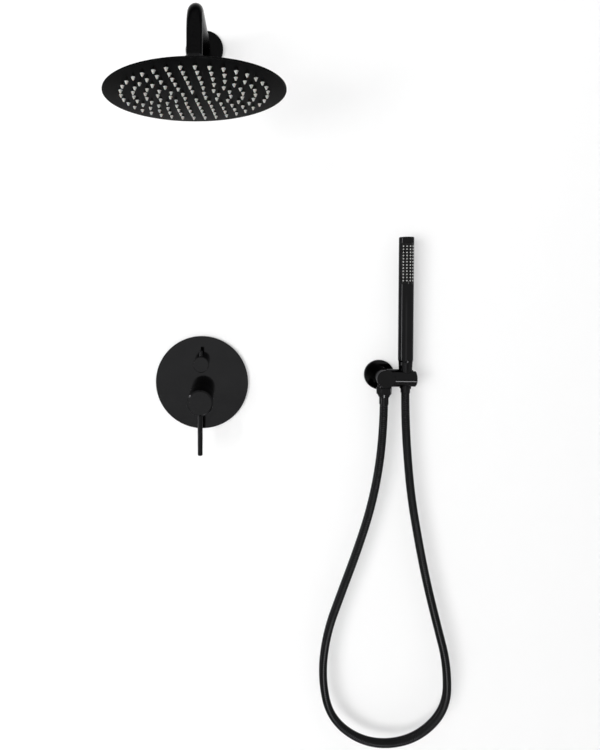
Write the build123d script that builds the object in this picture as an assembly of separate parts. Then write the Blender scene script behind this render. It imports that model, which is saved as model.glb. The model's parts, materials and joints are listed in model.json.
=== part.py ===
from build123d import *
import math
import os

# Concealed shower set in gloss black: a rain head on a wall arm, a two-knob mixer
# trim over its in-wall valve, and a wall outlet that feeds and holds a hand shower.
# Millimetres. The finished wall is the plane Y = 0, the room is on the -Y side,
# +X is right, +Z is up, and the origin is the middle of the mixer's cover plate.

# Fits shared by the whole set
fit_gap = 0.05          # radial play of a shaft or a plug in its bore
move_gap = 0.5          # air between faces that sweep past each other
ball_gap = 0.3          # air between the shells of the ball joint and in the holder
collar_gap = 0.4        # air between the ball and the nut that traps it
thread_r = 10.48        # half-inch pipe thread, outside
port_r = 9.3            # half-inch pipe thread, inside

# Rain arm
arm_x = 5.0             # arm's plane, right of the mixer's axis
arm_z = 649.5           # where the arm leaves the wall
arm_reach = 314.0       # wall to the axis of the drop
arm_fall = 71.5         # from the wall outlet down to the corner over the drop
arm_lead = 34.0         # square to the wall before the first bend
arm_tube_r = 11.2
arm_bore_r = 8.0
arm_wall_bend_r = 60.0
arm_drop_bend_r = 50.0
arm_wall_thread = 18.0  # screwed into the fitting in the wall
arm_drop_thread = 13.0  # screwed into the ball stem
flange_r = 36.5
flange_h = 7.0

# Rain head
head_z = 457.5          # underside of the face plate
head_r = 125.0
head_rim_h = 1.8
head_rim_t = 2.5
head_sheet_t = 0.8
head_crown = 9.0        # rise of the top from the rim to the hub
head_edge = 0.6         # bevel round the top
face_t = 0.9
mat_t = 1.0
mat_margin = 6.0        # silicone outside the last ring of nozzles
nozzle_rings = 6
nozzles_per_ring = 6    # each ring has this many more than the one inside it
nozzle_pitch = 16.7     # from ring to ring
nozzle_turn = 24.0      # of the first nozzle in each ring, from +X
nozzle_root_r = 2.9
nozzle_tip_r = 1.2
nozzle_l = 5.2
nozzle_sides = 6

# Ball joint between the arm and the head
ball_r = 12.5
ball_seat_t = 2.0
ball_neck_r = 7.0
ball_neck_top = 13.0    # above the ball's centre
ball_bore_r = 4.5
ball_hex = 26.0         # across flats
ball_hex_h = 16.0
ball_mouth_r = 10.0     # where the cup opens into the head
seat_low = 8.5          # the seat ring, below the ball's centre
seat_high = 1.0
hub_wall = 3.4
collar_wall = 3.5
collar_skirt = 8.0
collar_lip = 8.5
collar_step = 2.6
washer_t = 2.0          # flat rubber washers, here and at both hose ends
washer_bore_r = 5.5

# Mixer trim
plate_r = 91.0
plate_h = 7.0
sheet_t = 2.5           # wall of the cover plate, the flange and the rosette
edge_bevel = 1.2
seal_w = 7.0            # foam seals behind the covers
mixer_z = -24.0
diverter_z = 41.0
knob_r = 24.0
knob_front = 82.0       # from the wall
knob_bevel = 2.6
knob_wall = 3.5
knob_hub_r = 10.0
knob_pocket_top = 62.0
sleeve_t = 1.6
sleeve_foot = 3.0
dome_r = 28.3           # ball-shaped shoulder that the knob tilts over
dome_t = 1.5
dome_hole_r = 18.0
pivot_h = 22.0          # tilt axis of the lever, from the wall
lever_h = 68.0
lever_root_r = 4.9
lever_tip_r = 4.6
lever_tip = 100.0       # from the knob's axis to the lever's end
lever_plug = 10.0       # length inside the knob
lever_edge = 1.0
screw_r = 2.0
screw_l = 6.0
screw_h = 57.0

# Mixing cartridge
cartridge_r = 18.0
cartridge_foot = -30.0  # all heights are measured from the wall, outwards
cartridge_floor = -8.0
cartridge_shoulder = 4.0
cartridge_wall = 2.0
cartridge_roof = 2.0
spigot_r = 13.0
spigot_top = 27.0
spigot_lip = 1.5
spindle_r = 11.0
spindle_foot = 14.0
spindle_wall = 2.2      # left at the ends of its slot
disc_t = 5.0
slider_r = 11.5
slider_t = 4.5
slider_boss_r = 6.0
slider_boss_top = 13.0
stem_w = 8.0
stem_foot = 17.0        # lower end of its square part
stem_top = 67.0
stem_tip_h = 12.0
stem_tip_r = 2.5
trunnion_r = 1.6
trunnion_l = 17.0
flow_hole_r = 3.5
flow_hole_out = 9.0     # from the cartridge's axis
nut_h = 4.0             # head of the ring nut
nut_thread_t = 1.5      # the ring nut is this much larger than the cartridge
neck_wall = 2.0
neck_top = 16.0
ring_foot = 11.0        # sealing ring between the neck and the sleeve
ring_t = 2.5

# In-wall valve
valve_back = -62.0
valve_front = -10.0
valve_main_r = 27.0
valve_small_r = 20.0
pipe_depth = -40.0
boss_r = 15.0
port_l = 16.0
inlet_reach = 62.0      # from the mixer's axis to the mouth of an inlet
outlet_reach = 54.0     # from the diverter's axis to the mouth of an outlet
channel_r = 6.0
strap_w = 124.0
strap_d = 26.0
strap_t = 5.0
strap_hole_r = 3.2
strap_pitch = 100.0

# Diverter
small_knob_r = 15.0
small_knob_front = 45.0
small_knob_bevel = 1.0
small_knob_wall = 2.1
small_neck_r = 12.4
small_neck_top = 12.0
diverter_r = 9.5
diverter_foot = -30.0
diverter_hex = 20.0
diverter_hex_h = 4.0
small_spindle_r = 4.0
small_spindle_foot = -18.0
small_spindle_top = 36.0
small_hub_foot = 18.0
pin_r = 3.5
pin_h = 35.0
pin_tip = 25.5          # from the knob's axis
pin_plug = 9.0
pin_edge = 0.8
small_screw_h = 26.0

# Wall outlet with holder
outlet_x = 345.0
outlet_z = 17.8
rosette_r = 28.6
rosette_h = 6.0
outlet_r = 17.0
outlet_h = 53.0
outlet_bevel = 1.0
outlet_axis_h = 36.0    # hose, holder arm and hand shower hang this far from the wall
outlet_thread = 18.0    # screwed into the fitting in the wall
outlet_bore_r = 7.0
check_l = 14.0
holder_r = 16.6
holder_reach = 57.0
holder_dome = 2.0
holder_x = 39.4         # from the outlet's axis to the hand shower's
holder_slot = 16.2
drop_boss_r = 12.0
drop_boss_l = 18.0
hose_thread_l = 9.0
hose_thread_bore = 6.0

# Hose and its end pieces
hose_r = 7.6
hose_bore_r = 4.5
hose_groove = 0.9       # depth between two ribs
hose_ribs = 100
hose_plain = 14.0       # smooth at both ends
hose_start_z = -21.5
hose_end_z = -1.5
nut_hex = 26.0
nut_hex_l = 12.0
nut_chamfer_r = 13.4    # trims the corners of its lower end
nut_corner_r = 14.2     # trims the corners of its upper end
nut_tail_l = 6.0
nut_tail_root_r = 12.2
nut_tail_r = 9.6
ferrule_flange_r = 9.8
ferrule_flange_t = 2.0
ferrule_r = 8.5
ferrule_l = 10.0        # over the hose
hand_ferrule_l = 8.0

# Hand shower
hand_r = 13.5
hand_wall = 1.7
hand_foot = 50.5        # lower end of the handle
hand_top = 282.0
hand_edge = 1.0
hand_neck = 2.0         # narrow part between the cone nut and the handle
hand_shoulder = 1.5     # slope from the neck out to the handle
hand_floor = 4.0        # of the water way above the thread
hand_funnel = 2.0
cap_t = 3.0
cap_plug = 8.0
spray_low = 194.5
spray_high = 271.0
spray_half = 56.0       # degrees either side of the front
spray_rows = 12
spray_columns = 4
spray_pitch = 5.8
spray_step = 27.0       # degrees between columns
spray_root_r = 1.3
spray_tip_r = 0.8
spray_l = 1.0           # stands out of the panel
spray_sink = 0.5        # root inside the panel
cone_top_r = 12.6
cone_foot_r = 10.2
cone_l = 50.0
hand_thread_l = 15.0
hand_thread_wall = 3.5

base = (Align.CENTER, Align.CENTER, Align.MIN)


def wall_frame(x, z):
    """Frame on the wall: X right, Y up and Z out into the room."""
    return Plane(origin=(x, 0, z), x_dir=(1, 0, 0), z_dir=(0, -1, 0))


def upright(x, y, z=0.0):
    """Frame with a vertical axis."""
    return Plane(origin=(x, y, z), x_dir=(1, 0, 0), z_dir=(0, 0, 1))


def rod(start, direction, radius, length):
    """Round bar from a point, along a direction."""
    return Plane(origin=start, z_dir=direction) * Cylinder(radius, length, align=base)


def drum(radius, low, high):
    """Plain cylinder about Z between two heights."""
    return Pos(0, 0, low) * Cylinder(radius, high - low, align=base)


def turned(*points):
    """Solid of revolution about Z through (radius, height) points."""
    outline = Polyline(*[(r, 0, h) for r, h in points], close=True)
    return revolve(make_face(outline), Axis.Z)


def ring(inner, outer, low, high):
    """Plain ring about Z."""
    return turned((inner, low), (outer, low), (outer, high), (inner, high))


def hexagon(flats, low, high):
    """Hexagonal bar about Z."""
    return Pos(0, 0, low) * extrude(RegularPolygon(flats / 2, 6, major_radius=False), high - low)


def cover(radius, height, hole_r):
    """Shallow dished cover that lies on the wall, with one hole on its axis."""
    return turned(
        (hole_r, height), (radius - edge_bevel, height), (radius, height - edge_bevel),
        (radius, 0), (radius - sheet_t, 0), (radius - sheet_t, height - sheet_t),
        (hole_r, height - sheet_t),
    )


def foam_ring(radius, height):
    """Foam seal inside the rim of a dished cover."""
    outer = radius - sheet_t - fit_gap
    return ring(outer - seal_w, outer, 0, height - sheet_t)


def studs(points, root_r, tip_r, length, sink):
    """Tapered nozzles about Z: a straight root of depth sink, then a cone that points down."""
    root = RegularPolygon(root_r, nozzle_sides)
    tip = RegularPolygon(tip_r, nozzle_sides)
    cone = loft([root, Pos(0, 0, -length) * tip], ruled=True)
    one = cone + extrude(root, sink)
    return [place * one for place in points]


# Rain arm and head

cup_r = ball_r + ball_seat_t + 2 * ball_gap
hub_z = head_z + head_rim_h + head_crown
ball_z = hub_z + math.sqrt(cup_r**2 - ball_mouth_r**2)
arm_end_z = ball_z + ball_neck_top + ball_hex_h
hub_r = cup_r + hub_wall
drop_y = -arm_reach
ring_points = [
    Pos(arm_x, drop_y, head_z)
    * Rot(0, 0, nozzle_turn + 360 * i / (nozzles_per_ring * k))
    * Pos(nozzle_pitch * k, 0, 0)
    for k in range(1, nozzle_rings + 1)
    for i in range(nozzles_per_ring * k)
]


def arm_route():
    """Centre line of the arm: square out of the wall, sloping down, then straight down."""
    corners = [
        (arm_x, 0, arm_z),
        (arm_x, -arm_lead, arm_z),
        (arm_x, drop_y, arm_z - arm_fall),
        (arm_x, drop_y, arm_end_z),
    ]
    return FilletPolyline(*corners, radius=[arm_wall_bend_r, arm_drop_bend_r])


def shower_arm():
    route = arm_route()
    wall = wall_frame(arm_x, arm_z)
    drop = upright(arm_x, drop_y, arm_end_z)
    tube = sweep(wall * Circle(arm_tube_r), path=route)
    bore = sweep(wall * Circle(arm_bore_r), path=route)
    wall_end = ring(arm_bore_r, thread_r, -arm_wall_thread, 0)
    drop_end = ring(arm_bore_r, thread_r, -arm_drop_thread, 0)
    return (tube - bore) + wall * wall_end + drop * drop_end


def ball_stem():
    """Ball with a hexagonal socket that screws onto the arm."""
    ball_top = ball_neck_top + ball_hex_h
    stem = Sphere(ball_r) + Cylinder(ball_neck_r, ball_neck_top, align=base)
    stem += hexagon(ball_hex, ball_neck_top, ball_top)
    socket = arm_drop_thread + washer_t
    stem -= Pos(0, 0, ball_top - socket) * Cylinder(thread_r + fit_gap, socket, align=base)
    return stem - Pos(0, 0, -ball_r) * Cylinder(ball_bore_r, ball_r + ball_top, align=base)


def ball_seat():
    """Ring of low-friction plastic under the ball."""
    slab = Pos(0, 0, -seat_low) * Cylinder(cup_r, seat_low - seat_high, align=base)
    return Sphere(cup_r - ball_gap) - Sphere(ball_r + ball_gap) & slab


def head_shell():
    """Slim dished top with the cup of the ball joint on it."""
    inner_r = head_r - head_rim_t
    rim_z = head_z + head_rim_h
    shell = turned(
        (inner_r, head_z), (head_r, head_z), (head_r, rim_z - head_edge), (head_r - head_edge, rim_z),
        (hub_r, hub_z), (hub_r, ball_z), (0, ball_z),
        (0, hub_z - head_sheet_t), (inner_r, rim_z - head_sheet_t),
    )
    return shell - Pos(0, 0, ball_z) * Sphere(cup_r)


def head_collar():
    """Ring nut that traps the ball in its cup."""
    bore_r = hub_r + fit_gap
    outer_r = bore_r + collar_wall
    nut = turned(
        (bore_r, -collar_skirt), (outer_r, -collar_skirt), (outer_r, collar_lip - collar_wall),
        (outer_r - collar_wall, collar_lip), (ball_neck_r, collar_lip), (ball_neck_r, collar_step),
        (cup_r, collar_step), (cup_r, 0), (bore_r, 0),
    )
    return nut - Sphere(ball_r + collar_gap)


def rain_pieces():
    wall = wall_frame(arm_x, arm_z)
    axis = upright(arm_x, drop_y)
    ball = upright(arm_x, drop_y, ball_z)
    socket_floor = arm_end_z - arm_drop_thread - washer_t
    face = axis * Pos(0, 0, head_z) * Cylinder(head_r - head_rim_t - fit_gap, face_t, align=base)
    mat_r = nozzle_pitch * nozzle_rings + mat_margin
    mat = axis * Pos(0, 0, head_z + face_t) * Cylinder(mat_r, mat_t, align=base)
    hole = extrude(RegularPolygon(nozzle_root_r + fit_gap, nozzle_sides), face_t)
    return {
        "arm_flange": wall * cover(flange_r, flange_h, arm_tube_r + fit_gap),
        "arm_flange_seal": wall * foam_ring(flange_r, flange_h),
        "shower_arm": shower_arm(),
        "arm_washer": axis * ring(washer_bore_r, thread_r, socket_floor, socket_floor + washer_t),
        "ball_stem": ball * ball_stem(),
        "ball_seat": ball * ball_seat(),
        "head_collar": ball * head_collar(),
        "head_shell": axis * head_shell(),
        "head_face_plate": face - [place * hole for place in ring_points],
        "head_nozzle_mat": mat + studs(ring_points, nozzle_root_r, nozzle_tip_r, nozzle_l, face_t),
    }


# Mixer: everything is drawn on the wall frame, with heights out of the wall

cap_gap_r = dome_r + move_gap
sleeve_r = knob_r - sleeve_t
nut_r = cartridge_r + nut_thread_t
neck_r = nut_r + fit_gap + neck_wall
flow_points = [(-flow_hole_out, 0), (flow_hole_out, 0), (0, flow_hole_out)]


def over_pivot(radius, r):
    """Height of a ball surface about the lever's pivot, at distance r from the axis."""
    return pivot_h + math.sqrt(radius**2 - r**2)


def flow_holes(low, high):
    """Hot, cold and mixed water passages through the cartridge."""
    return [Pos(x, y, low) * Cylinder(flow_hole_r, high - low, align=base) for x, y in flow_points]


def mixer_sleeve():
    """Tube round the cartridge, closed by a ball-shaped shoulder."""
    inner_dome = dome_r - dome_t
    outer_rs = (knob_r, (knob_r + dome_hole_r) / 2, dome_hole_r)
    inner_rs = (dome_hole_r, (sleeve_r + dome_hole_r) / 2, sleeve_r)
    outer_arc = [(r, 0, over_pivot(dome_r, r)) for r in outer_rs]
    inner_arc = [(r, 0, over_pivot(inner_dome, r)) for r in inner_rs]
    side = Polyline(inner_arc[2], (sleeve_r, 0, sleeve_foot), (knob_r, 0, sleeve_foot), outer_arc[0])
    outline = side + ThreePointArc(*outer_arc) + Line(outer_arc[2], inner_arc[0]) + ThreePointArc(*inner_arc)
    return revolve(make_face(outline.edges()), Axis.Z)


def mixer_knob():
    """Knob that tilts over the shoulder, with a hollow round its hub."""
    foot = over_pivot(cap_gap_r, knob_r)
    knob = turned(
        (0, foot), (knob_r, foot), (knob_r, knob_front - knob_bevel),
        (knob_r - knob_bevel, knob_front), (0, knob_front),
    )
    knob -= ring(knob_hub_r, knob_r - knob_wall, foot, knob_pocket_top)
    knob -= Pos(0, 0, pivot_h) * Sphere(cap_gap_r)
    socket = stem_w + 2 * fit_gap
    knob -= Box(socket, socket, stem_top, align=base)
    knob -= rod((0, -knob_r - 1, lever_h), (0, 1, 0), lever_root_r + fit_gap, lever_plug + 1)
    return knob - rod((0, -knob_r - 1, screw_h), (0, 1, 0), screw_r + fit_gap, knob_r + 1)


def mixer_lever():
    """Pin lever that hangs from the knob."""
    return Plane(origin=(0, 0, lever_h), z_dir=(0, -1, 0)) * turned(
        (0, knob_r - lever_plug), (lever_root_r, knob_r - lever_plug), (lever_root_r, knob_r),
        (lever_tip_r, lever_tip - lever_edge), (lever_tip_r - lever_edge, lever_tip), (0, lever_tip),
    )


def grub_screw(height, inner):
    """Headless screw with a hexagonal recess that points down from its knob's hub."""
    body = Cylinder(screw_r, screw_l, align=base)
    body -= Pos(0, 0, screw_l / 2) * hexagon(screw_r, 0, screw_l)
    return Plane(origin=(0, -inner, height), z_dir=(0, -1, 0)) * body


def cartridge_stem():
    """Square lever stem with two trunnions and a rounded tip that pushes the slider."""
    stem = Pos(0, 0, stem_foot) * Box(stem_w, stem_w, stem_top - stem_foot, align=base)
    stem += drum(stem_tip_r, stem_tip_h, stem_foot)
    stem += Pos(0, 0, stem_tip_h) * Sphere(stem_tip_r)
    return stem + rod((-trunnion_l / 2, 0, pivot_h), (1, 0, 0), trunnion_r, trunnion_l)


def cartridge_spindle():
    """Turning guide that carries the stem's trunnions."""
    top = spigot_top - spigot_lip - fit_gap
    guide = drum(spindle_r - fit_gap, spindle_foot, top)
    slot_l = 2 * (spindle_r - spindle_wall)
    guide -= Pos(0, 0, spindle_foot) * Box(stem_w + 2 * move_gap, slot_l, top - spindle_foot, align=base)
    return guide - rod((-spindle_r, 0, pivot_h), (1, 0, 0), trunnion_r + fit_gap, 2 * spindle_r)


def cartridge_housing():
    roof = cartridge_shoulder - cartridge_roof
    body = turned(
        (0, cartridge_foot), (cartridge_r, cartridge_foot), (cartridge_r, cartridge_shoulder),
        (spigot_r, cartridge_shoulder), (spigot_r, spigot_top), (0, spigot_top),
    )
    cavity = turned(
        (0, cartridge_floor), (cartridge_r - cartridge_wall, cartridge_floor),
        (cartridge_r - cartridge_wall, roof), (spindle_r, roof),
        (spindle_r, spigot_top - spigot_lip), (spindle_r - spigot_lip, spigot_top - spigot_lip),
        (spindle_r - spigot_lip, spigot_top), (0, spigot_top),
    )
    return body - cavity - flow_holes(cartridge_foot, cartridge_floor)


def ceramic_slider():
    """Moving ceramic disc with the pocket that the stem's tip pushes in."""
    foot = cartridge_floor + disc_t
    slider = Pos(0, 0, foot) * Cylinder(slider_r, slider_t, align=base)
    slider += drum(slider_boss_r, foot, slider_boss_top)
    pocket_foot = stem_tip_h - stem_tip_r - move_gap
    slider -= Pos(0, 0, pocket_foot) * Cylinder(stem_tip_r + move_gap, slider_boss_top, align=base)
    groove = Cylinder(flow_hole_out, disc_t / 2, align=base)
    return slider - Pos(0, 0, foot) * (groove - Cylinder(flow_hole_r, disc_t, align=base))


def cartridge_nut():
    """Ring nut that holds the cartridge down."""
    bore_r = spigot_r + fit_gap
    return turned(
        (bore_r, cartridge_shoulder), (nut_r, cartridge_shoulder), (nut_r, neck_top),
        (neck_r, neck_top), (neck_r, neck_top + nut_h), (bore_r, neck_top + nut_h),
    )


def valve_body():
    """Brass body in the wall: two necks, two inlets, two outlets and a fixing strap."""
    main = Pos(0, mixer_z)
    small = Pos(0, diverter_z)
    outline = make_hull((main * Circle(valve_main_r)).edges() + (small * Circle(valve_small_r)).edges())
    body = Pos(0, 0, valve_back) * extrude(outline, valve_front - valve_back)
    body += main * drum(neck_r, valve_front, neck_top)
    body += small * drum(small_neck_r, valve_front, small_neck_top)
    strap_z = (mixer_z + diverter_z) / 2
    strap = RectangleRounded(strap_w, strap_d, strap_d / 3)
    strap -= [Pos(x, 0) * Circle(strap_hole_r) for x in (-strap_pitch / 2, strap_pitch / 2)]
    body += Pos(0, strap_z, valve_back) * extrude(strap, strap_t)
    ports = [
        ((0, mixer_z, pipe_depth), (-1, 0, 0), inlet_reach),
        ((0, mixer_z, pipe_depth), (1, 0, 0), inlet_reach),
        ((0, diverter_z, pipe_depth), (0, 1, 0), outlet_reach),
        ((0, diverter_z, pipe_depth), (1, 0, 0), outlet_reach),
    ]
    for start, way, reach in ports:
        body += rod(start, way, boss_r, reach)
    for start, way, reach in ports:
        mouth = Vector(*start) + Vector(*way) * (reach - port_l)
        body -= rod(mouth, way, port_r, port_l)
        body -= rod(Vector(*start) + Vector(*way) * flow_hole_out, way, channel_r, reach - flow_hole_out)
    chamber = drum(cartridge_r + fit_gap, cartridge_foot, neck_top)
    chamber += Pos(0, 0, cartridge_shoulder) * Cylinder(nut_r + fit_gap, neck_top, align=base)
    body -= main * chamber
    body -= [main * hole for hole in flow_holes(pipe_depth, cartridge_foot)]
    mixed = Vector(0, mixer_z + flow_hole_out, pipe_depth)
    body -= rod(mixed, (0, 1, 0), flow_hole_r, diverter_z - mixer_z - flow_hole_out)
    return body - small * drum(diverter_r + fit_gap, pipe_depth, small_neck_top)


def diverter_cartridge():
    """Two-way valve insert with a hexagonal head on the neck."""
    top = small_neck_top + diverter_hex_h
    insert = drum(diverter_r, diverter_foot, small_neck_top)
    insert += hexagon(diverter_hex, small_neck_top, top)
    bore = small_spindle_r + fit_gap
    insert -= drum(bore, small_spindle_foot, top)
    return insert - rod((0, -diverter_r, diverter_foot + channel_r), (0, 1, 0), flow_hole_r, 2 * diverter_r)


def diverter_knob():
    foot = plate_h + 2 * move_gap
    knob = turned(
        (0, foot), (small_knob_r, foot), (small_knob_r, small_knob_front - small_knob_bevel),
        (small_knob_r - small_knob_bevel, small_knob_front), (0, small_knob_front),
    )
    knob -= drum(small_knob_r - small_knob_wall, foot, small_hub_foot)
    knob -= Cylinder(small_spindle_r + fit_gap, small_spindle_top, align=base)
    knob -= rod((0, small_knob_r - pin_plug, pin_h), (0, 1, 0), pin_r + fit_gap, pin_plug + 1)
    return knob - rod((0, 0, small_screw_h), (0, -1, 0), screw_r + fit_gap, small_knob_r + 1)


def diverter_pin():
    return Plane(origin=(0, 0, pin_h), z_dir=(0, 1, 0)) * turned(
        (0, small_knob_r - pin_plug), (pin_r, small_knob_r - pin_plug), (pin_r, pin_tip - pin_edge),
        (pin_r - pin_edge, pin_tip), (0, pin_tip),
    )


def mixer_pieces():
    plate_frame = wall_frame(0, 0)
    main = wall_frame(0, mixer_z)
    small = wall_frame(0, diverter_z)
    plate = cover(plate_r, plate_h, 0)
    plate -= Pos(0, mixer_z) * Cylinder(knob_r + fit_gap, plate_h, align=base)
    plate -= Pos(0, diverter_z) * Cylinder(small_neck_r + fit_gap, plate_h, align=base)
    disc_r = cartridge_r - cartridge_wall - fit_gap
    fixed_disc = Pos(0, 0, cartridge_floor) * Cylinder(disc_r, disc_t, align=base)
    spindle = drum(small_spindle_r, small_spindle_foot, small_spindle_top)
    return {
        "cover_plate": plate_frame * plate,
        "plate_seal": plate_frame * foam_ring(plate_r, plate_h),
        "valve_body": plate_frame * valve_body(),
        "cartridge_housing": main * cartridge_housing(),
        "cartridge_nut": main * cartridge_nut(),
        "ceramic_seat": main * (fixed_disc - flow_holes(cartridge_floor, cartridge_floor + disc_t)),
        "ceramic_slider": main * ceramic_slider(),
        "cartridge_spindle": main * cartridge_spindle(),
        "cartridge_stem": main * cartridge_stem(),
        "mixer_sleeve": main * mixer_sleeve(),
        "sleeve_ring": main * ring(neck_r + fit_gap, sleeve_r - fit_gap, ring_foot, ring_foot + ring_t),
        "mixer_knob": main * mixer_knob(),
        "mixer_lever": main * mixer_lever(),
        "mixer_grub_screw": main * grub_screw(screw_h, stem_w / 2 + fit_gap),
        "diverter_cartridge": small * diverter_cartridge(),
        "diverter_spindle": small * spindle,
        "diverter_knob": small * diverter_knob(),
        "diverter_pin": small * diverter_pin(),
        "diverter_grub_screw": small * grub_screw(small_screw_h, small_spindle_r + fit_gap),
    }


# Wall outlet, holder, hose and hand shower

hand_x = outlet_x + holder_x
hang_y = -outlet_axis_h
outlet_foot_z = outlet_z - drop_boss_l
hose_seat_z = outlet_foot_z - hose_thread_l
cone_top_z = hand_foot - hand_neck
hose_points = [
    (outlet_x, hose_start_z), (outlet_x, -65), (338, -149), (322, -232), (297, -313), (268, -394),
    (240, -475), (231, -561), (249, -643), (319, -688), (405, -677), (467, -614), (467, -527),
    (447, -450), (427, -370), (411, -290), (397, -208), (389, -126), (hand_x, -45), (hand_x, hose_end_z),
]


def cone_r(z):
    """Radius of the hand shower's conical nut at a height."""
    return cone_top_r + (cone_foot_r - cone_top_r) * (cone_top_z - z) / cone_l


def outlet_body():
    """Wall elbow: inlet thread, drop to the hose, and a slotted arm that holds the hand shower."""
    body = turned(
        (0, 0), (outlet_r, 0), (outlet_r, outlet_h - outlet_bevel),
        (outlet_r - outlet_bevel, outlet_h), (0, outlet_h),
    )
    body += Pos(0, 0, -outlet_thread) * Cylinder(thread_r, outlet_thread, align=base)
    arm = Plane(origin=(0, 0, outlet_axis_h), z_dir=(1, 0, 0)) * turned(
        (0, 0), (holder_r, 0), (holder_r, holder_reach - holder_dome),
        (holder_r - holder_dome, holder_reach), (0, holder_reach),
    )
    body += arm + rod((0, 0, outlet_axis_h), (0, -1, 0), drop_boss_r, drop_boss_l)
    body += rod((0, -drop_boss_l, outlet_axis_h), (0, -1, 0), thread_r, hose_thread_l)
    body -= Pos(0, 0, -outlet_thread) * Cylinder(outlet_bore_r, outlet_thread + outlet_axis_h, align=base)
    body -= rod((0, 0, outlet_axis_h), (0, -1, 0), hose_thread_bore, drop_boss_l + hose_thread_l)
    slot_h = 2 * outlet_r
    slot = Pos(holder_x, 0, outlet_axis_h) * Box(
        holder_reach, slot_h, holder_slot, align=(Align.MIN, Align.CENTER, Align.CENTER)
    )
    placed = wall_frame(outlet_x, outlet_z) * (body - slot)
    low, high = outlet_z - slot_h, outlet_z + slot_h
    taper = turned((0, low), (cone_r(low) + ball_gap, low), (cone_r(high) + ball_gap, high), (0, high))
    return placed - upright(hand_x, hang_y) * taper


def hose_wall_nut():
    """Hexagonal union nut on the outlet, with a tapered tail."""
    tail_z = outlet_foot_z - nut_hex_l
    nut = hexagon(nut_hex, tail_z, outlet_foot_z)
    foot_z = tail_z - nut_tail_l
    nut &= turned((0, tail_z), (nut_chamfer_r, tail_z), (nut_corner_r, outlet_foot_z), (0, outlet_foot_z))
    nut += turned((0, tail_z), (nut_tail_root_r, tail_z), (nut_tail_r, foot_z), (0, foot_z))
    seat_z = hose_seat_z - washer_t - ferrule_flange_t
    nut -= drum(thread_r + fit_gap, seat_z, outlet_foot_z)
    return nut - drum(ferrule_r + fit_gap, foot_z, outlet_foot_z)


def ferrule(flange_z, end_z, hose_z):
    """Flanged crimp sleeve at a hose end; the flange is at flange_z, the open end at end_z."""
    top = flange_z + ferrule_flange_t
    return turned(
        (hose_bore_r, top), (ferrule_flange_r, top), (ferrule_flange_r, flange_z), (ferrule_r, flange_z),
        (ferrule_r, end_z), (hose_r + fit_gap, end_z), (hose_r + fit_gap, hose_z), (hose_bore_r, hose_z),
    )


def hose_route():
    """Hanging loop of the hose: straight runs joined by arcs as large as the runs allow."""
    points = [Vector(x, hang_y, z) for x, z in hose_points]
    radii = []
    for before, here, after in zip(points, points[1:], points[2:]):
        turn = math.radians((here - before).get_angle(after - here))
        radii.append(0.45 * min((here - before).length, (after - here).length) / math.tan(turn / 2))
    print("hose radii:", [round(r) for r in radii])
    return FilletPolyline(*points, radius=radii)


def hose_section(route, length, at, radius):
    """Round section of the hose at a distance along its route, on a steady X axis."""
    share = min(max(at / length, 0.0), 1.0)
    return Plane(origin=route @ share, x_dir=(0, -1, 0), z_dir=route % share) * Circle(radius)


def hose():
    """Ribbed metal hose with its bore: each rib rises, runs level and falls to a groove."""
    route = hose_route()
    length = route.length
    pitch = (length - 2 * hose_plain) / hose_ribs
    stations = [(0.0, hose_r - hose_groove)]
    for k in range(hose_ribs):
        start = hose_plain + pitch * k
        for share, depth in ((0.08, hose_groove), (0.3, 0.0), (0.78, 0.0), (1.0, hose_groove)):
            stations.append((start + pitch * share, hose_r - depth))
    stations.append((length, hose_r - hose_groove))
    outer = loft([hose_section(route, length, at, r) for at, r in stations], ruled=True)
    steps = len(hose_points) * 3
    bore_stations = [length * k / steps for k in range(steps + 1)]
    bore = loft([hose_section(route, length, at, hose_bore_r) for at in bore_stations], ruled=True)
    tube = outer - bore
    straight = -hose_bore_r**2 * length
    for (start, foot), (end, tip) in zip(stations, stations[1:]):
        straight += (end - start) * (foot**2 + foot * tip + tip**2) / 3
    print(f"hose length {length:.1f}, volume {tube.volume:.0f}, laid straight {math.pi * straight:.0f}")
    return tube


def cone_nut():
    """Conical nut on the hand shower's end of the hose; it sits in the holder."""
    foot = cone_top_z - cone_l
    nut = turned((0, foot), (cone_r(foot), foot), (cone_r(cone_top_z), cone_top_z), (0, cone_top_z))
    ledge = hand_foot - hand_thread_l - washer_t - ferrule_flange_t
    nut -= drum(thread_r + fit_gap, ledge, cone_top_z)
    return nut - drum(ferrule_r + fit_gap, foot, ledge)


def spray_sector(low, high, half, inner, outer):
    """Curved panel on the front of the handle."""
    panel = ring(inner, outer, low, high)
    reach = 2 * outer
    spread = reach * math.tan(math.radians(half))
    wedge = make_face(Polyline((0, 0), (spread, -reach), (-spread, -reach), close=True))
    return panel & Pos(0, 0, low) * extrude(wedge, high - low)


def handset_body():
    """Handle tube with a threaded foot and a window for the spray panel."""
    bore_r = hand_r - hand_wall
    inlet_r = thread_r - hand_thread_wall
    inlet_z = hand_foot - hand_thread_l
    floor_z = hand_foot + hand_floor
    rim_z = hand_top - cap_t
    body = turned(
        (inlet_r, inlet_z), (thread_r, inlet_z), (thread_r, cone_top_z), (cone_top_r, cone_top_z),
        (hand_r, hand_foot + hand_shoulder), (hand_r, rim_z), (bore_r, rim_z),
        (bore_r, floor_z + hand_funnel), (inlet_r, floor_z),
    )
    return body - spray_sector(spray_low, spray_high, spray_half, bore_r / 2, 2 * hand_r)


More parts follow.
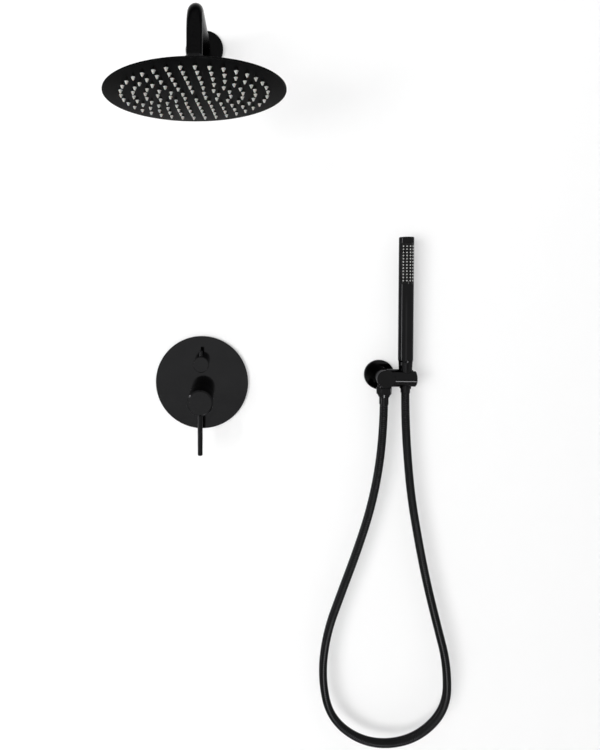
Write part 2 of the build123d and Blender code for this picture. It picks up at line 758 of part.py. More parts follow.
def spray_panel():
    """Silicone panel in the handle's window, with its columns of nozzles."""
    panel = spray_sector(
        spray_low + fit_gap, spray_high - fit_gap, spray_half - math.degrees(fit_gap / hand_r),
        hand_r - hand_wall, hand_r,
    )
    middle = (spray_low + spray_high) / 2
    places = [
        Pos(0, 0, middle + spray_pitch * (row - (spray_rows - 1) / 2))
        * Rot(0, 0, spray_step * (column - (spray_columns - 1) / 2))
        * Pos(0, spray_sink - hand_r, 0) * Rot(-90, 0, 0)
        for row in range(spray_rows)
        for column in range(spray_columns)
    ]
    return panel + studs(places, spray_root_r, spray_tip_r, spray_l + spray_sink, spray_sink)


def handset_cap():
    """Plug that closes the top of the handle."""
    plug_r = hand_r - hand_wall - fit_gap
    foot = hand_top - cap_t
    return turned(
        (0, foot - cap_plug), (plug_r, foot - cap_plug), (plug_r, foot), (hand_r, foot),
        (hand_r, hand_top - hand_edge), (hand_r - hand_edge, hand_top), (0, hand_top),
    )


def outlet_pieces():
    wall = wall_frame(outlet_x, outlet_z)
    drop = upright(outlet_x, hang_y)
    hand = upright(hand_x, hang_y)
    hand_seat_z = hand_foot - hand_thread_l
    wall_flange_z = hose_seat_z - washer_t - ferrule_flange_t
    hand_flange_z = hand_seat_z - washer_t - ferrule_flange_t
    washer = ring(washer_bore_r, ferrule_flange_r, -washer_t, 0)
    check = ring(outlet_bore_r / 2, outlet_bore_r - fit_gap, -outlet_thread, check_l - outlet_thread)
    return {
        "outlet_rosette": wall * cover(rosette_r, rosette_h, outlet_r + fit_gap),
        "rosette_seal": wall * foam_ring(rosette_r, rosette_h),
        "outlet_body": outlet_body(),
        "check_valve": wall * check,
        "hose_wall_washer": drop * Pos(0, 0, hose_seat_z) * washer,
        "hose_wall_nut": drop * hose_wall_nut(),
        "hose_wall_ferrule": drop * ferrule(wall_flange_z, hose_start_z - ferrule_l, hose_start_z),
        "hose": hose(),
        "hose_hand_ferrule": hand * ferrule(hand_flange_z, hose_end_z - hand_ferrule_l, hose_end_z),
        "hose_cone_nut": hand * cone_nut(),
        "handset_washer": hand * Pos(0, 0, hand_seat_z) * washer,
        "handset_body": hand * handset_body(),
        "handset_spray_panel": hand * spray_panel(),
        "handset_cap": hand * handset_cap(),
    }


os.makedirs("parts", exist_ok=True)
for name, piece in {**rain_pieces(), **mixer_pieces(), **outlet_pieces()}.items():
    export_step(piece, f"parts/{name}.step")
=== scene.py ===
import bpy
import json
import math
from mathutils import Matrix, Vector


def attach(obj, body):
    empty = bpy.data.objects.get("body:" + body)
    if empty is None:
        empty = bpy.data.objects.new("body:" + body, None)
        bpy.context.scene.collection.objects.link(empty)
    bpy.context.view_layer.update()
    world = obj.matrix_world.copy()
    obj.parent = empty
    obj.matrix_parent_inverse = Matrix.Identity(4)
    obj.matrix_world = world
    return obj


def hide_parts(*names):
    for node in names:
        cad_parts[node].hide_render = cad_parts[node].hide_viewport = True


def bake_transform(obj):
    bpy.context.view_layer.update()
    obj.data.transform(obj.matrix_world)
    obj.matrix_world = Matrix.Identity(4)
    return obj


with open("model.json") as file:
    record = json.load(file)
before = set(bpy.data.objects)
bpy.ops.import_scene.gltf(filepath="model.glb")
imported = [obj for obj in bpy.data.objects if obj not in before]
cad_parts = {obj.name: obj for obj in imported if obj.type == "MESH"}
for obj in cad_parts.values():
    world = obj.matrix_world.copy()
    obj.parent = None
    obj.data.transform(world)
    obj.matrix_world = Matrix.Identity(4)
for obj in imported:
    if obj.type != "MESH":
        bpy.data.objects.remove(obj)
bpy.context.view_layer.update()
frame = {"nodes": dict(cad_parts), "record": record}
scene = bpy.context.scene
cad = frame["nodes"]


class Wire:  # one value in a shader tree; sums and products of wires add their nodes
    def __init__(self, tree, socket=None):
        self.tree = tree
        self.socket = socket

    def node(self, kind, settings=None, inputs=None, out=0):
        made = self.tree.nodes.new("ShaderNode" + kind)
        for name, value in (settings or {}).items():
            setattr(made, name, value)
        for name, value in (inputs or {}).items():
            if isinstance(value, Wire):
                self.tree.links.new(value.socket, made.inputs[name])
            else:
                made.inputs[name].default_value = value
        return Wire(self.tree, made.outputs[out])

    def maths(self, operation, first, second):
        return self.node("Math", {"operation": operation}, {0: first, 1: second})

    def __add__(self, other):
        return self.maths("ADD", self, other)

    def __radd__(self, other):
        return self.maths("ADD", other, self)

    def __mul__(self, other):
        return self.maths("MULTIPLY", self, other)

    def __rmul__(self, other):
        return self.maths("MULTIPLY", other, self)


def noise(place, size, detail=2.0, rough=0.5, twist=0.0):  # size in metres
    values = {"Vector": place, "Scale": 1 / size, "Detail": detail, "Roughness": rough, "Distortion": twist}
    return place.node("TexNoise", {"noise_dimensions": "3D"}, values)


def smoothStep(value, low, high):
    values = {"Value": value, "From Min": low, "From Max": high}
    return value.node("MapRange", {"interpolation_type": "SMOOTHSTEP"}, values)


def mixTone(share, first, second):
    first, second = [tone if isinstance(tone, Wire) else (*tone, 1) for tone in (first, second)]
    return share.node("Mix", {"data_type": "RGBA"}, {0: share, 6: first, 7: second}, 2)


def mark(place, name):  # a value stored on the points of a mesh made below
    return place.node("Attribute", {"attribute_name": name}, None, "Fac")


def rounded(place, radius):  # normals that soften the edges of a solid
    return place.node("Bevel", {"samples": 4}, {"Radius": radius})


def bump(height, grooveShade, strength, under=None):  # depth in metres
    values = {"Strength": strength, "Distance": grooveShade, "Height": height}
    if under:
        values["Normal"] = under
    return height.node("Bump", None, values)


def finish(name, fixed, build):
    made = bpy.data.materials.new(name)
    made.use_nodes = True
    tree = made.node_tree
    shader = tree.nodes["Principled BSDF"]
    for socket, value in fixed.items():
        shader.inputs[socket].default_value = value
    place = Wire(tree).node("TexCoord", None, None, "Object")
    for socket, wire in build(place).items():
        tree.links.new(wire.socket, shader.inputs[socket])
    return made


lacquer = {
    "deep": (0.0108, 0.0108, 0.0112), "thin": (0.0138, 0.0138, 0.0142), "rim": (0.62, 0.62, 0.63, 1),
    "cloudSize": 0.03, "wipeSize": 0.09, "wipeFrom": 0.42, "wipeTo": 0.72, "gloss": 0.08, "haze": 0.05,
    "peelSize": 0.0011, "peelDepth": 0.000012, "edge": 0.0006,
}


def blackLacquer(place):
    cloud = noise(place, lacquer["cloudSize"], detail=3)
    wipe = noise(place, lacquer["wipeSize"], detail=5, rough=0.6, twist=1.2)  # faint marks of a cloth
    peel = noise(place, lacquer["peelSize"], detail=1)
    dull = smoothStep(wipe, lacquer["wipeFrom"], lacquer["wipeTo"])
    return {
        "Base Color": mixTone(cloud, lacquer["deep"], lacquer["thin"]),
        "Roughness": lacquer["gloss"] + dull * lacquer["haze"],
        "Normal": bump(peel, lacquer["peelDepth"], 0.5, rounded(place, lacquer["edge"])),
    }


shadedSatin = {  # the rain head and its arm are duller than the rest, and their darker tone is painted shade
    "deep": (0.0044, 0.0044, 0.0046), "thin": (0.007, 0.007, 0.0072), "rim": (0.47, 0.47, 0.47, 1),
    "rough": 0.18, "uneven": 0.1, "speckSize": 0.0022, "speckFrom": 0.3, "speckTo": 0.7,
    "grainSize": 0.0005, "grainDepth": 0.00001, "edge": 0.0006,
    "nodes": ("head_face_plate", "head_shell", "head_collar", "shower_arm", "arm_flange"),
}


def shadedSatinCoat(place):
    speck = noise(place, shadedSatin["speckSize"], detail=3)
    grain = noise(place, shadedSatin["grainSize"], detail=1)
    share = smoothStep(speck, shadedSatin["speckFrom"], shadedSatin["speckTo"])
    return {
        # the whole tone sits darker than the lacquer as painted shade; the speckle between the two tones is
        # random
        "Base Color": mixTone(share, shadedSatin["deep"], shadedSatin["thin"]),
        "Roughness": shadedSatin["rough"] + speck * shadedSatin["uneven"],
        "Normal": bump(grain, shadedSatin["grainDepth"], 0.5, rounded(place, shadedSatin["edge"])),
    }


strip = {
    # the groove colour is painted shade in the grooves between the ribs and in the bore
    "crest": (0.0135, 0.0135, 0.014), "groove": (0.0008, 0.0008, 0.0008), "gloss": 0.12, "dull": 0.35,
    "rubSize": 0.018, "rubFrom": 0.4, "rubTo": 0.75, "rubbed": 0.12, "scratchSize": 0.0009,
    "scratchDepth": 0.00001,
}


def hoseStrip(place):
    groove = mark(place, "groove")
    rub = smoothStep(noise(place, strip["rubSize"], detail=4, rough=0.6), strip["rubFrom"], strip["rubTo"])
    scratch = noise(place, strip["scratchSize"])
    return {
        # the grooves and the bore are painted dark as shade
        "Base Color": mixTone(groove, strip["crest"], strip["groove"]),
        "Roughness": strip["gloss"] + groove * strip["dull"] + rub * strip["rubbed"],
        "Normal": bump(scratch, strip["scratchDepth"], 0.6),
    }


silicone = {
    # the darkest silicone colour is painted shade on the rim in the face's opening and in the bore
    "clean": (0.47, 0.47, 0.445), "grey": (0.38, 0.38, 0.355), "hole": (0.01, 0.01, 0.01),
    "limeSize": 0.006, "limeFrom": 0.35, "limeTo": 0.75, "rough": 0.42, "limed": 0.2,
    "grainSize": 0.0006, "grainDepth": 0.00002,
}


def nozzleSilicone(place):
    lime = noise(place, silicone["limeSize"], detail=3)
    grain = noise(place, silicone["grainSize"], detail=1)
    share = smoothStep(lime, silicone["limeFrom"], silicone["limeTo"])
    tone = mixTone(share, silicone["clean"], silicone["grey"])
    return {
        # the rim and the bore are painted dark as shade
        "Base Color": mixTone(mark(place, "hole"), tone, silicone["hole"]),
        "Roughness": silicone["rough"] + lime * silicone["limed"],
        "Normal": bump(grain, silicone["grainDepth"], 0.5),
    }


panel = {
    # the bore colour paints shade into the nozzles' bores; the panel's dull ends take it too
    "black": (0.004, 0.004, 0.004), "pale": (0.58, 0.58, 0.57), "hole": (0.01, 0.01, 0.01),
    "gloss": 0.12, "studDull": 0.3, "holeDull": 0.5, "uneven": 0.06, "shine": 0.14,
    "grainSize": 0.0007, "grainDepth": 0.00001,
}


def panelSilicone(place):
    hole, stud = mark(place, "hole"), mark(place, "stud")
    grain = noise(place, panel["grainSize"])
    dull = stud * panel["studDull"] + hole * panel["holeDull"]
    return {
        # the nozzles' bores are painted dark as shade
        "Base Color": mixTone(hole, mixTone(stud, panel["black"], panel["pale"]), panel["hole"]),
        "Roughness": panel["gloss"] + dull + grain * panel["uneven"],
        "Normal": bump(grain, panel["grainDepth"], 0.5),
    }


rubber = {
    "black": (0.012, 0.012, 0.012), "bloom": (0.03, 0.03, 0.031), "bloomSize": 0.008, "bloomFrom": 0.45,
    "bloomTo": 0.75, "rough": 0.55, "uneven": 0.2, "grainSize": 0.0005, "grainDepth": 0.00003,
}


def sealRubber(place):
    bloom = smoothStep(noise(place, rubber["bloomSize"], detail=4), rubber["bloomFrom"], rubber["bloomTo"])
    grain = noise(place, rubber["grainSize"])
    return {
        "Base Color": mixTone(bloom, rubber["black"], rubber["bloom"]),
        "Roughness": rubber["rough"] + grain * rubber["uneven"],
        "Normal": bump(grain, rubber["grainDepth"], 0.6),
    }


foam = {
    # the pores are painted darker than the cell walls as shade
    "wall": (0.05, 0.05, 0.054), "poreShade": (0.012, 0.012, 0.013), "poreSize": 0.0013, "poreFrom": 0.15,
    "poreTo": 0.55, "poreDepth": 0.00025, "rough": 0.75, "rimDull": 0.15,
}


def sealFoam(place):
    values = {"Vector": place, "Scale": 1 / foam["poreSize"]}
    cells = place.node("TexVoronoi", {"feature": "F1"}, values, "Distance")
    rim = smoothStep(cells, foam["poreFrom"], foam["poreTo"])
    return {
        # the sunken pores are painted dark as shade
        "Base Color": mixTone(rim, foam["poreShade"], foam["wall"]),
        "Roughness": foam["rough"] + rim * foam["rimDull"],
        "Normal": bump(rim, foam["poreDepth"], 0.8),
    }


acetal = {
    "milk": (0.78, 0.78, 0.75), "warm": (0.68, 0.67, 0.62), "flowSize": 0.012, "rough": 0.38,
    "uneven": 0.18, "grainSize": 0.0004, "grainDepth": 0.000015, "edge": 0.0003,
}


def mouldedAcetal(place):
    flow = noise(place, acetal["flowSize"], detail=3, twist=0.8)
    grain = noise(place, acetal["grainSize"])
    return {
        "Base Color": mixTone(flow, acetal["milk"], acetal["warm"]),
        "Roughness": acetal["rough"] + grain * acetal["uneven"],
        "Normal": bump(grain, acetal["grainDepth"], 0.5, rounded(place, acetal["edge"])),
    }


brass = {
    "bright": (0.74, 0.53, 0.22), "dull": (0.42, 0.28, 0.11), "patchSize": 0.02, "patchFrom": 0.42,
    "patchTo": 0.7, "rough": 0.3, "patchDull": 0.2, "uneven": 0.1, "sandSize": 0.0008,
    "sandDepth": 0.00008, "edge": 0.0007,
}


def castBrass(place):
    tarnish = noise(place, brass["patchSize"], detail=5, rough=0.6)
    sand = noise(place, brass["sandSize"], detail=3, rough=0.6)
    patch = smoothStep(tarnish, brass["patchFrom"], brass["patchTo"])
    return {
        "Base Color": mixTone(patch, brass["bright"], brass["dull"]),
        "Roughness": brass["rough"] + patch * brass["patchDull"] + sand * brass["uneven"],
        "Normal": bump(sand, brass["sandDepth"], 0.7, rounded(place, brass["edge"])),
    }


ceramic = {
    "white": (0.86, 0.85, 0.81), "grey": (0.76, 0.75, 0.71), "cloudSize": 0.004, "gloss": 0.12,
    "uneven": 0.1, "grainSize": 0.0003, "grainDepth": 0.000005,
}


def lappedCeramic(place):
    cloud = noise(place, ceramic["cloudSize"], detail=3)
    grain = noise(place, ceramic["grainSize"], detail=1)
    return {
        "Base Color": mixTone(cloud, ceramic["white"], ceramic["grey"]),
        "Roughness": ceramic["gloss"] + cloud * ceramic["uneven"],
        "Normal": bump(grain, ceramic["grainDepth"], 0.4),
    }


steel = {
    "dark": (0.50, 0.50, 0.51), "bright": (0.66, 0.66, 0.67), "lineSize": 0.0003, "lineStretch": (1, 0.05, 1),
    "lineDepth": 0.00002, "rough": 0.24, "uneven": 0.16, "edge": 0.0003,
}


def turnedSteel(place):
    stretched = place.node("Mapping", None, {"Vector": place, "Scale": steel["lineStretch"]})
    lines = noise(stretched, steel["lineSize"], detail=3)
    return {
        "Base Color": mixTone(lines, steel["dark"], steel["bright"]),
        "Roughness": steel["rough"] + lines * steel["uneven"],
        "Normal": bump(lines, steel["lineDepth"], 0.5, rounded(place, steel["edge"])),
    }


blackMetal = {"Metallic": 1.0, "Specular Tint": lacquer["rim"]}
softSilicone = {"Subsurface Weight": 0.15, "Subsurface Scale": 0.002}
finishes = {  # by the record's material slots
    "black_finish": finish("blackLacquer", blackMetal, blackLacquer),
    "hose_steel": finish("hoseStrip", blackMetal, hoseStrip),
    "spray_silicone": finish("nozzleSilicone", softSilicone, nozzleSilicone),
    "panel_silicone": finish("panelSilicone", {"Specular IOR Level": panel["shine"]}, panelSilicone),
    "seal_rubber": finish("sealRubber", {}, sealRubber),
    "seal_foam": finish("sealFoam", {}, sealFoam),
    "seat_plastic": finish("mouldedAcetal", {}, mouldedAcetal),
    "valve_brass": finish("castBrass", {"Metallic": 1.0}, castBrass),
    "ceramic": finish("lappedCeramic", {}, lappedCeramic),
    "bare_steel": finish("turnedSteel", {"Metallic": 1.0}, turnedSteel),
}
rainFinish = finish("shadedSatinCoat", {"Metallic": 1.0, "Specular Tint": shadedSatin["rim"]}, shadedSatinCoat)
slotOf = {row["node"]: row["material_slot"] for row in frame["record"]["subparts"]}
for name, node in cad.items():
    node.data.materials.clear()
    node.data.materials.append(rainFinish if name in shadedSatin["nodes"] else finishes[slotOf[name]])
print("finishes:", len(finishes) + 1)


def makePiece(name, blocks, slot, marks=None, looped=False):
    # a block is rows of points with equal counts, joined one to the next; a looped block's last row meets its
    # first, and any other block is capped at both ends
    points, faces = [], []
    for block in blocks:
        first, sides, rows = len(points), len(block[0]), len(block)
        points += [point for ring in block for point in ring]
        for row in range(rows if looped else rows - 1):
            low = first + row * sides
            high = first + (row + 1) % rows * sides
            for side in range(sides):
                after = (side + 1) % sides
                faces.append((low + side, low + after, high + after, high + side))
        if not looped:
            last = first + (rows - 1) * sides
            faces.append(tuple(first + side for side in reversed(range(sides))))
            faces.append(tuple(last + side for side in range(sides)))
    mesh = bpy.data.meshes.new(name)
    mesh.from_pydata(points, [], faces)
    mesh.validate()
    mesh.shade_smooth()
    for title, values in (marks or {}).items():
        layer = mesh.attributes.new(title, "FLOAT", "POINT")
        layer.data.foreach_set("value", values)
    mesh.materials.append(finishes[slot])
    made = bpy.data.objects.new(name, mesh)
    scene.collection.objects.link(made)
    return made


def lathe(place, profile, sides):  # profile of (radius, height) along the place's own Z
    rings = []
    for radius, height in profile:
        ring = []
        for side in range(sides):
            angle = 2 * math.pi * side / sides
            ring.append(place @ Vector((radius * math.cos(angle), radius * math.sin(angle), height)))
        rings.append(ring)
    return rings


hoseMake = {
    "route": [
        (0.345, -0.0215), (0.345, -0.065), (0.338, -0.149), (0.322, -0.232), (0.297, -0.313),
        (0.268, -0.394), (0.240, -0.475), (0.231, -0.561), (0.249, -0.643), (0.319, -0.688),
        (0.405, -0.677), (0.467, -0.614), (0.467, -0.527), (0.447, -0.450), (0.427, -0.370),
        (0.411, -0.290), (0.397, -0.208), (0.389, -0.126), (0.3844, -0.045), (0.3844, -0.0015),
    ],
    "fromWall": -0.036, "radius": 0.0076, "bore": 0.0045, "boreStep": 0.012, "groove": 0.0006,
    "pitch": 0.0038, "crown": 0.5, "ringsPerTurn": 8, "sides": 20,
    "endPieces": ("hose_wall_nut", "hose_wall_ferrule", "hose_hand_ferrule", "hose_cone_nut"),
}


def hoseLine():
    curve = bpy.data.curves.new("hoseLine", "CURVE")
    curve.dimensions = "3D"
    spline = curve.splines.new("NURBS")
    spline.points.add(len(hoseMake["route"]) - 1)
    for point, (x, z) in zip(spline.points, hoseMake["route"]):
        point.co = (x, hoseMake["fromWall"], z, 1)
    spline.order_u = 3
    spline.use_endpoint_u = True
    spline.resolution_u = 60
    line = bpy.data.objects.new("hoseLine", curve)
    read = bpy.data.meshes.new_from_object(line)
    points = [vertex.co.copy() for vertex in read.vertices]
    bpy.data.meshes.remove(read)
    bpy.data.objects.remove(line)
    bpy.data.curves.remove(curve)
    return points


def alongLine(points, step):
    # even stations on the line that was read: distance gone, place and direction
    gone = [0.0]
    for before, after in zip(points, points[1:]):
        gone.append(gone[-1] + (after - before).length)
    count = round(gone[-1] / step)
    stations, at = [], 0
    for index in range(count + 1):
        want = gone[-1] * index / count
        while at < len(points) - 2 and gone[at + 1] < want:
            at += 1
        share = (want - gone[at]) / (gone[at + 1] - gone[at])
        place = points[at].lerp(points[at + 1], share)
        ahead = points[min(at + 2, len(points) - 1)] - points[max(at - 1, 0)]
        stations.append((want, place, ahead.normalized()))
    return stations


def hoseRing(place, way, radii):
    across = Vector((0, -1, 0))
    out = across.cross(way).normalized()
    ring = []
    for side, radius in enumerate(radii):
        angle = 2 * math.pi * side / len(radii)
        ring.append(place + (across * math.cos(angle) + out * math.sin(angle)) * radius)
    return ring


def makeHose():
    line = hoseLine()
    sides, crown = hoseMake["sides"], hoseMake["crown"]
    rings, grooveShade = [], []
    for gone, place, way in alongLine(line, hoseMake["pitch"] / hoseMake["ringsPerTurn"]):
        radii = []
        for side in range(sides):
            turn = (gone / hoseMake["pitch"] + side / sides) % 1
            sunk = max(0.0, abs(2 * turn - 1) - crown) / (1 - crown)  # level crown, sloped groove
            radii.append(hoseMake["radius"] - hoseMake["groove"] * sunk)
            # how far a point is sunk also paints it dark as groove shade
            grooveShade.append(sunk)
        rings.append(hoseRing(place, way, radii))
    for gone, place, way in reversed(alongLine(line, hoseMake["boreStep"])):  # back through the bore, which is painted dark as shade
        rings.append(hoseRing(place, way, [hoseMake["bore"]] * sides))
        grooveShade += [1.0] * sides
    made = makePiece("hoseWound", [rings], "hose_steel", {"groove": grooveShade})
    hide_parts("hose")
    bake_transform(made)
    length = sum((after - before).length for before, after in zip(line, line[1:]))
    print("hose:", len(rings), "rings, line", round(length, 4), "m")


makeHose()

rainNozzles = {
    "axis": (0.005, -0.314), "face": 0.4575, "faceDepth": 0.0009, "matDepth": 0.001, "matRadius": 0.1062,
    "matHub": 0.001, "matSides": 48, "rings": 6, "perRing": 6, "pitch": 0.0167, "turn": 24.0, "sides": 14,
    "profile": [  # (radius, below the face)
        (0.0025, -0.0009), (0.0025, 0.0001), (0.00305, 0.0001), (0.0031, 0.0003), (0.0027, 0.0005),
        (0.00245, 0.0006), (0.0019, 0.0022), (0.0012, 0.0038), (0.0009, 0.0044), (0.0007, 0.0046),
        (0.0005, 0.0044), (0.0004, 0.0026), (0.0001, 0.0024),
    ],
    "paleRows": range(5, 10),  # the rim in the face's opening and the bore are painted dark as shade
}


def makeRainNozzles():
    x, y = rainNozzles["axis"]
    face, sides = rainNozzles["face"], rainNozzles["sides"]
    hub, wide, thick = rainNozzles["matHub"], rainNozzles["matRadius"], rainNozzles["matDepth"]
    above = Matrix.Translation((x, y, face + rainNozzles["faceDepth"]))
    section = [(hub, 0), (wide, 0), (wide, thick), (hub, thick)]
    blocks = [lathe(above, section, rainNozzles["matSides"])]
    hole = [0.0] * (len(section) * rainNozzles["matSides"])
    down = Matrix.Rotation(math.pi, 4, "X")
    for ring in range(1, rainNozzles["rings"] + 1):
        reach, count = rainNozzles["pitch"] * ring, rainNozzles["perRing"] * ring
        for spot in range(count):
            angle = 2 * math.pi * spot / count + math.radians(rainNozzles["turn"])
            foot = (x + reach * math.cos(angle), y + reach * math.sin(angle), face)
            blocks.append(lathe(Matrix.Translation(foot) @ down, rainNozzles["profile"], sides))
            # rows outside the pale ones are painted dark as shade
            for row in range(len(rainNozzles["profile"])):
                hole += [float(row not in rainNozzles["paleRows"])] * sides
    made = makePiece("rainNozzles", blocks, "spray_silicone", {"hole": hole})
    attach(made, "rain_head")
    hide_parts("head_nozzle_mat")
    print("rain nozzles:", len(blocks) - 1)


makeRainNozzles()

sprayPanel = {
    "axis": (0.3844, -0.036), "low": 0.1945, "high": 0.271, "half": 56.0, "radius": 0.0135, "wall": 0.0017,
    "gap": 0.0001, "gapTurn": 0.3, "seam": 0.00035, "slope": 0.0004, "slopeTurn": 1.6, "steps": 24,
    "rows": 12, "columns": 4, "pitch": 0.0058, "columnTurn": 27.0, "sides": 12,
    "profile": [  # (radius, out of the panel)
        (0.0013, -0.0004), (0.0013, 0.0001), (0.00115, 0.0005), (0.0009, 0.0009), (0.0007, 0.001),
        (0.0005, 0.00095), (0.0004, 0.0003), (0.0001, 0.0002),
    ],
    "holeFrom": 5,  # the profile's rows from here on are the bore, painted dark as shade
}


def onPanel(angle, radius, z):
    x, y = sprayPanel["axis"]
    turn = math.radians(angle)
    return (x + radius * math.sin(turn), y - radius * math.cos(turn), z)


def panelShell():  # a part of a tube whose outer edges slope down to a seam
    low, high = sprayPanel["low"] + sprayPanel["gap"], sprayPanel["high"] - sprayPanel["gap"]
    wide, deep = sprayPanel["radius"], sprayPanel["radius"] - sprayPanel["wall"]
    seam, slope, steps = sprayPanel["seam"], sprayPanel["slope"], sprayPanel["steps"]
    half = sprayPanel["half"] - sprayPanel["gapTurn"]
    level = half - sprayPanel["slopeTurn"]
    angles = [-half, *[level * (2 * step / steps - 1) for step in range(steps + 1)], half]
    rings = []
    for z, drop in ((low, seam), (low + slope, 0.0), (high - slope, 0.0), (high, seam)):
        outer = [onPanel(angle, wide - (seam if abs(angle) == half else drop), z) for angle in angles]
        inner = [onPanel(angle, deep, z) for angle in reversed(angles)]
        rings.append(outer + inner)
    return rings


def makeSprayPanel():
    x, y = sprayPanel["axis"]
    rows, columns, sides = sprayPanel["rows"], sprayPanel["columns"], sprayPanel["sides"]
    shell = panelShell()
    blocks = [shell]
    around = len(shell[0])
    hole = [1.0] * around + [0.0] * (2 * around) + [1.0] * around  # its two ends are dull
    stud = [0.0] * len(hole)
    middle = (sprayPanel["low"] + sprayPanel["high"]) / 2
    outward = Matrix.Translation((0, -sprayPanel["radius"], 0)) @ Matrix.Rotation(math.pi / 2, 4, "X")
    for row in range(rows):
        z = middle + sprayPanel["pitch"] * (row - (rows - 1) / 2)
        for column in range(columns):
            angle = math.radians(sprayPanel["columnTurn"] * (column - (columns - 1) / 2))
            place = Matrix.Translation((x, y, z)) @ Matrix.Rotation(angle, 4, "Z") @ outward
            blocks.append(lathe(place, sprayPanel["profile"], sides))
            # the bore rows are painted dark as shade
            for index in range(len(sprayPanel["profile"])):
                hole += [float(index >= sprayPanel["holeFrom"])] * sides
                stud += [1.0] * sides
    made = makePiece("sprayPanel", blocks, "panel_silicone", {"hole": hole, "stud": stud})
    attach(made, "handset")
    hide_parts("handset_spray_panel")
    print("spray panel:", len(blocks) - 1, "nozzles")


makeSprayPanel()

foamSeals = {
    "soft": 0.0009, "shoulder": 0.3,  # how far the foam rounds off at its edges, and the share halfway round
    "sides": 96,
    "nodes": {  # inner and outer radius, thickness, place on the wall
        "arm_flange_seal": (0.02695, 0.03395, 0.0045, (0.005, 0.6495)),
        "plate_seal": (0.08145, 0.08845, 0.0045, (0.0, 0.0)),
        "rosette_seal": (0.01905, 0.02605, 0.0035, (0.345, 0.0178)),
    },
}


def makeFoamSeals():
    soft = foamSeals["soft"]
    part = soft * foamSeals["shoulder"]
    for node, (inner, outer, thick, (x, z)) in foamSeals["nodes"].items():
        place = Matrix.Translation((x, 0, z)) @ Matrix.Rotation(math.pi / 2, 4, "X")
        section = [
            (inner + soft, 0.0), (outer - soft, 0.0), (outer - part, part), (outer, soft),
            (outer, thick - soft), (outer - part, thick - part), (outer - soft, thick),
            (inner + soft, thick), (inner + part, thick - part), (inner, thick - soft),
            (inner, soft), (inner + part, part),
        ]
        block = lathe(place, section, foamSeals["sides"])
        made = makePiece(node + "Foam", [block], "seal_foam", looped=True)
        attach(made, "wall_set")
        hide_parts(node)
    print("foam seals:", len(foamSeals["nodes"]))


makeFoamSeals()


def seenDirectly(start):  # 1 where the eye sees a thing, straight or in gloss and glass
    seen = start.node("LightPath", None, None, "Is Camera Ray")
    for kind in ("Is Glossy Ray", "Is Transmission Ray"):
        seen = start.maths("MAXIMUM", seen, start.node("LightPath", None, None, kind))
    return seen


def shadeWith(owner, kind, build):  # gives a material or the world the surface that build returns
    owner.use_nodes = True
    tree = owner.node_tree
    tree.nodes.clear()
    surface = build(Wire(tree))
    out = tree.nodes.new("ShaderNodeOutput" + kind)
    tree.links.new(surface.socket, out.inputs["Surface"])


backdrop = {
    "wall": 3.0, "top": 3.2, "floor": -1.15, "room": 5.0, "cove": 0.12, "coveSteps": 8,
    "paint": (0.93, 0.93, 0.93, 1), "glow": 0.35,
}
white = (1, 1, 1, 1)


def wallPaint(start):
    matt = start.node("BsdfDiffuse", None, {"Color": backdrop["paint"]})
    bright = start.node("Emission", None, {"Color": white, "Strength": 1.0})
    share = seenDirectly(start) * backdrop["glow"]
    front = start.node("MixShader", None, {0: share, 1: matt, 2: bright})
    behind = start.node("NewGeometry", None, None, "Backfacing")
    clear = start.node("BsdfTransparent")  # the valve behind the wall shows from behind
    return start.node("MixShader", None, {0: behind, 1: front, 2: clear})


def makeBackdrop():
    cove, steps = backdrop["cove"], backdrop["coveSteps"]
    floor, wide = backdrop["floor"], backdrop["wall"]
    profile = [(0.0, backdrop["top"])]
    for step in range(steps + 1):
        turn = math.pi / 2 * step / steps
        profile.append((-cove + cove * math.cos(turn), floor + cove - cove * math.sin(turn)))
    profile.append((-backdrop["room"], floor))
    points = [(x, y, z) for y, z in profile for x in (-wide, wide)]
    faces = [(2 * row, 2 * row + 2, 2 * row + 3, 2 * row + 1) for row in range(len(profile) - 1)]
    mesh = bpy.data.meshes.new("backdrop")
    mesh.from_pydata(points, [], faces)
    mesh.shade_smooth()
    made = bpy.data.objects.new("backdrop", mesh)
    scene.collection.objects.link(made)
    paint = bpy.data.materials.new("wallPaint")
    shadeWith(paint, "Material", wallPaint)
    mesh.materials.append(paint)


makeBackdrop()

studio = {"dim": 0.37, "white": 1.0}  # what lights the set, and what is seen


def studioAir(start):
    dim = start.node("Background", None, {"Color": white, "Strength": studio["dim"]})
    bright = start.node("Background", None, {"Color": white, "Strength": studio["white"]})
    return start.node("MixShader", None, {0: seenDirectly(start), 1: dim, 2: bright})


scene.world = bpy.data.worlds.new("studio")
shadeWith(scene.world, "World", studioAir)
print("backdrop and world ready")

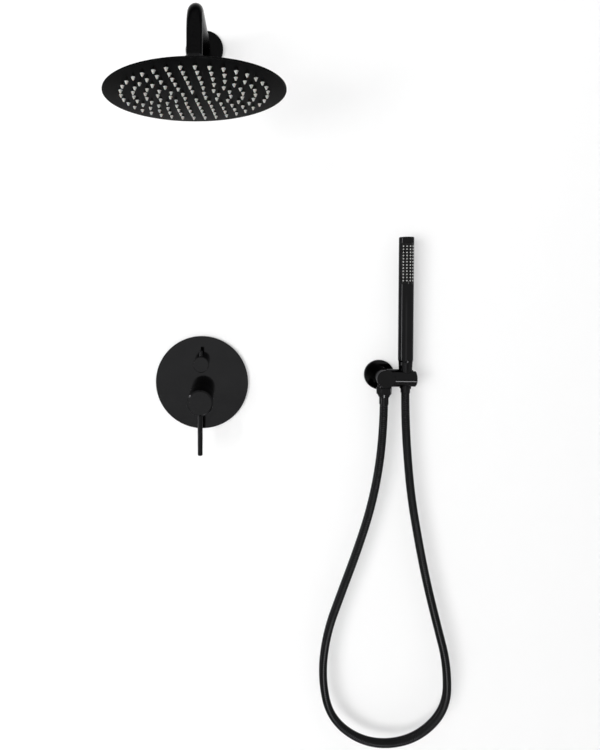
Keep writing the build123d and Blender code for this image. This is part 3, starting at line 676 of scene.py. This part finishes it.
lamps = {  # place, looks at, size, watts, what it lights
    "leftBox": ((-3.6, -5.1, -0.3), (0.1, 0.0, 0.0), (3.2, 3.4), 365, "matt"),
    "topBox": ((0.1, -1.5, 2.2), (0.1, -0.1, 0.1), (2.0, 0.9), 10, "matt"),
    "frontCard": ((-0.12, -2.6, -0.5), (0.0, 0.0, 0.0), (1.1, 1.1), 3.1, "gloss"),
    "leftStrip": ((-1.7, -0.3, 0.1), (0.38, -0.04, 0.1), (0.2, 1.6), 18, "gloss"),
    "nearCard": ((0.26, -0.85, -1.08), (0.26, -0.75, 0.5), (0.32, 0.5), 12, "gloss"),
    "farCard": ((0.93, -1.4, -0.98), (0.93, 0.0, -0.98), (0.22, 0.32), 5, "gloss"),
}


def turnTo(way):
    return way.to_track_quat("-Z", "Y").to_euler()


def makeLamps():
    for name, (place, target, (wide, tall), watts, lights) in lamps.items():
        data = bpy.data.lights.new(name, "AREA")
        data.shape = "RECTANGLE"
        data.size, data.size_y, data.energy = wide, tall, watts
        lamp = bpy.data.objects.new(name, data)
        lamp.location = place
        lamp.rotation_euler = turnTo(Vector(target) - Vector(place))
        lamp.visible_glossy = lights != "matt"
        lamp.visible_diffuse = lights != "gloss"
        scene.collection.objects.link(lamp)
    print("lamps:", len(lamps))


makeLamps()

viewpoint = {  # of the 600 by 750 picture, angles in degrees
    "place": (0.05131, -1.045, 0.2085), "yaw": -2.75, "pitch": 1.3, "focalPixels": 530.0,
    "axisPixel": (202.54, 288.53), "picture": (600, 750), "sensor": 36,
}


def makeCamera():
    data = bpy.data.cameras.new("camera")
    wide, tall = viewpoint["picture"]
    across, down = viewpoint["axisPixel"]
    data.sensor_width = viewpoint["sensor"]
    data.lens = viewpoint["focalPixels"] / tall * data.sensor_width
    data.shift_x = (wide / 2 - across) / tall
    data.shift_y = (down - tall / 2) / tall
    data.clip_start, data.clip_end = 0.01, 50
    camera = bpy.data.objects.new("camera", data)
    camera.location = viewpoint["place"]
    yaw, pitch = math.radians(viewpoint["yaw"]), math.radians(viewpoint["pitch"])
    ahead = (math.sin(yaw) * math.cos(pitch), math.cos(yaw) * math.cos(pitch), -math.sin(pitch))
    camera.rotation_euler = turnTo(Vector(ahead))
    scene.collection.objects.link(camera)
    scene.camera = camera
    print("camera ready")


makeCamera()
scene.view_settings.view_transform = "Standard"

print("scene ready")
